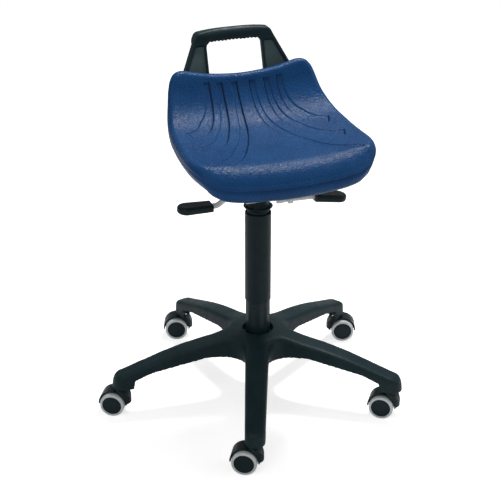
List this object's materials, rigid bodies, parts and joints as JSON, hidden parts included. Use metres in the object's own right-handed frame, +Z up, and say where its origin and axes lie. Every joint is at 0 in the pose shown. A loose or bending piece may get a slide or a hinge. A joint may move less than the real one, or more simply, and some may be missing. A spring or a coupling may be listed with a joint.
{
  "type": "perch stool",
  "caption": "Height-adjustable perch stool with a dished, sloping foam seat, rear carrying handle, tilt mechanism with paddle levers, telescopic column and castored star base.",
  "frame": {"origin": "on the floor under the column axis, seat at its lowest and level", "axes": "+Z up along the column, -Y towards the front of the seat, +X to the sitter's left-hand viewer side, which is the side of the height lever"},
  "size_m": [0.6336, 0.6092, 0.751],
  "materials": {
    "black_nylon": "satin glass-filled moulding with a fine grain",
    "black_plastic": "satin black moulding",
    "black_steel": "semi-gloss black coating",
    "grey_steel": "light grey powder coat",
    "zinc_steel": "bright zinc plate",
    "bright_steel": "ground and polished",
    "blue_foam": "integral-skin foam with a pebble grain",
    "grey_tread": "soft light grey tread",
    "plywood": "raw beech plywood"
  },
  "bodies": {
    "base": {"base_star": "black_nylon", "stand_tube": "black_steel", "guide_bush": "black_plastic", "stem_grip_rings": "zinc_steel"},
    "gas_rod": {"piston_rod": "bright_steel", "thrust_bearing": "bright_steel", "retaining_clip": "zinc_steel"},
    "lift": {"gas_cylinder": "black_steel", "cover_sleeve": "black_plastic", "sleeve_collar": "black_plastic", "carrier": "grey_steel", "tilt_pivot_pin": "zinc_steel", "clamp_pin": "zinc_steel", "lever_pins": "zinc_steel"},
    "height_lever": {"height_lever": "grey_steel", "height_paddle": "black_plastic"},
    "release_button": {"release_button": "bright_steel"},
    "tilt_lever": {"tilt_lever": "grey_steel", "tilt_paddle": "black_plastic"},
    "clamp_shoe": {"clamp_shoe": "grey_steel"},
    "seat": {"seat_top_plate": "grey_steel", "seat_board": "plywood", "seat_pad": "blue_foam", "handle": "black_nylon", "seat_screws": "zinc_steel"},
    "caster_front": {"caster_front_housing": "black_plastic", "caster_front_stem": "zinc_steel", "caster_front_axle": "zinc_steel"},
    "caster_front_wheel_left": {"caster_front_wheel_left": "black_plastic", "caster_front_tread_left": "grey_tread"},
    "caster_front_wheel_right": {"caster_front_wheel_right": "black_plastic", "caster_front_tread_right": "grey_tread"},
    "caster_right": {"caster_right_housing": "black_plastic", "caster_right_stem": "zinc_steel", "caster_right_axle": "zinc_steel"},
    "caster_right_wheel_left": {"caster_right_wheel_left": "black_plastic", "caster_right_tread_left": "grey_tread"},
    "caster_right_wheel_right": {"caster_right_wheel_right": "black_plastic", "caster_right_tread_right": "grey_tread"},
    "caster_rear_right": {"caster_rear_right_housing": "black_plastic", "caster_rear_right_stem": "zinc_steel", "caster_rear_right_axle": "zinc_steel"},
    "caster_rear_right_wheel_left": {"caster_rear_right_wheel_left": "black_plastic", "caster_rear_right_tread_left": "grey_tread"},
    "caster_rear_right_wheel_right": {"caster_rear_right_wheel_right": "black_plastic", "caster_rear_right_tread_right": "grey_tread"},
    "caster_rear_left": {"caster_rear_left_housing": "black_plastic", "caster_rear_left_stem": "zinc_steel", "caster_rear_left_axle": "zinc_steel"},
    "caster_rear_left_wheel_left": {"caster_rear_left_wheel_left": "black_plastic", "caster_rear_left_tread_left": "grey_tread"},
    "caster_rear_left_wheel_right": {"caster_rear_left_wheel_right": "black_plastic", "caster_rear_left_tread_right": "grey_tread"},
    "caster_left": {"caster_left_housing": "black_plastic", "caster_left_stem": "zinc_steel", "caster_left_axle": "zinc_steel"},
    "caster_left_wheel_left": {"caster_left_wheel_left": "black_plastic", "caster_left_tread_left": "grey_tread"},
    "caster_left_wheel_right": {"caster_left_wheel_right": "black_plastic", "caster_left_tread_right": "grey_tread"}
  },
  "joints": [
    {"name": "seat_swivel", "type": "hinge", "parent": "base", "child": "gas_rod", "pos_m": [0, 0, 0.09], "axis": [0, 0, 1], "continuous": true},
    {"name": "seat_height", "type": "slide", "parent": "gas_rod", "child": "lift", "axis": [0, 0, 1], "range_m": [0, 0.165]},
    {"name": "seat_tilt", "type": "hinge", "parent": "lift", "child": "seat", "pos_m": [0, 0.03, 0.512], "axis": [1, 0, 0], "range_deg": [-3, 8]},
    {"name": "height_lever_lift", "type": "hinge", "parent": "lift", "child": "height_lever", "pos_m": [0.038, -0.07, 0.464], "axis": [0, -1, 0], "range_deg": [0, 6], "stiffness_Nm_per_rad": 1.5, "springref_deg": -14.32},
    {"name": "button_press", "type": "slide", "parent": "lift", "child": "release_button", "axis": [0, 0, -1], "range_m": [0, 0.004], "stiffness_N_per_m": 600, "springref_m": -0.004},
    {"name": "tilt_lever_lift", "type": "hinge", "parent": "lift", "child": "tilt_lever", "pos_m": [-0.034, -0.045, 0.477], "axis": [0, 1, 0], "range_deg": [0, 8], "stiffness_Nm_per_rad": 1.5, "springref_deg": -14.32},
    {"name": "shoe_release", "type": "slide", "parent": "lift", "child": "clamp_shoe", "axis": [1, 0, 0], "range_m": [0, 0.0023], "stiffness_N_per_m": 800, "springref_m": -0.002},
    {"name": "caster_front_swivel", "type": "hinge", "parent": "base", "child": "caster_front", "pos_m": [-0.10676, -0.26964, 0.06], "axis": [0, 0, 1], "continuous": true},
    {"name": "caster_front_left_roll", "type": "hinge", "parent": "caster_front", "child": "caster_front_wheel_left", "pos_m": [-0.12234, -0.26064, 0.025], "axis": [-0.5, -0.866, 0], "continuous": true},
    {"name": "caster_front_right_roll", "type": "hinge", "parent": "caster_front", "child": "caster_front_wheel_right", "pos_m": [-0.12234, -0.26064, 0.025], "axis": [-0.5, -0.866, 0], "continuous": true},
    {"name": "caster_right_swivel", "type": "hinge", "parent": "base", "child": "caster_right", "pos_m": [0.22345, -0.18485, 0.06], "axis": [0, 0, 1], "continuous": true},
    {"name": "caster_right_left_roll", "type": "hinge", "parent": "caster_right", "child": "caster_right_wheel_left", "pos_m": [0.20889, -0.17427, 0.025], "axis": [-0.5878, -0.809, 0], "continuous": true},
    {"name": "caster_right_right_roll", "type": "hinge", "parent": "caster_right", "child": "caster_right_wheel_right", "pos_m": [0.20889, -0.17427, 0.025], "axis": [-0.5878, -0.809, 0], "continuous": true},
    {"name": "caster_rear_right_swivel", "type": "hinge", "parent": "base", "child": "caster_rear_right", "pos_m": [0.24485, 0.15539, 0.06], "axis": [0, 0, 1], "continuous": true},
    {"name": "caster_rear_right_left_roll", "type": "hinge", "parent": "caster_rear_right", "child": "caster_rear_right_wheel_left", "pos_m": [0.26177, 0.14923, 0.025], "axis": [0.342, 0.9397, 0], "continuous": true},
    {"name": "caster_rear_right_right_roll", "type": "hinge", "parent": "caster_rear_right", "child": "caster_rear_right_wheel_right", "pos_m": [0.26177, 0.14923, 0.025], "axis": [0.342, 0.9397, 0], "continuous": true},
    {"name": "caster_rear_left_swivel", "type": "hinge", "parent": "base", "child": "caster_rear_left", "pos_m": [-0.07212, 0.28089, 0.06], "axis": [0, 0, 1], "continuous": true},
    {"name": "caster_rear_left_left_roll", "type": "hinge", "parent": "caster_rear_left", "child": "caster_rear_left_wheel_left", "pos_m": [-0.08904, 0.28704, 0.025], "axis": [-0.342, -0.9397, 0], "continuous": true},
    {"name": "caster_rear_left_right_roll", "type": "hinge", "parent": "caster_rear_left", "child": "caster_rear_left_wheel_right", "pos_m": [-0.08904, 0.28704, 0.025], "axis": [-0.342, -0.9397, 0], "continuous": true},
    {"name": "caster_left_swivel", "type": "hinge", "parent": "base", "child": "caster_left", "pos_m": [-0.28943, 0.01821, 0.06], "axis": [0, 0, 1], "continuous": true},
    {"name": "caster_left_left_roll", "type": "hinge", "parent": "caster_left", "child": "caster_left_wheel_left", "pos_m": [-0.30502, 0.02721, 0.025], "axis": [-0.5, -0.866, 0], "continuous": true},
    {"name": "caster_left_right_roll", "type": "hinge", "parent": "caster_left", "child": "caster_left_wheel_right", "pos_m": [-0.30502, 0.02721, 0.025], "axis": [-0.5, -0.866, 0], "continuous": true}
  ],
  "couplings": [
    {"joint": "button_press", "follows": "height_lever_lift", "m_per_rad": 0.038},
    {"joint": "shoe_release", "follows": "tilt_lever_lift", "m_per_rad": 0.016}
  ]
}
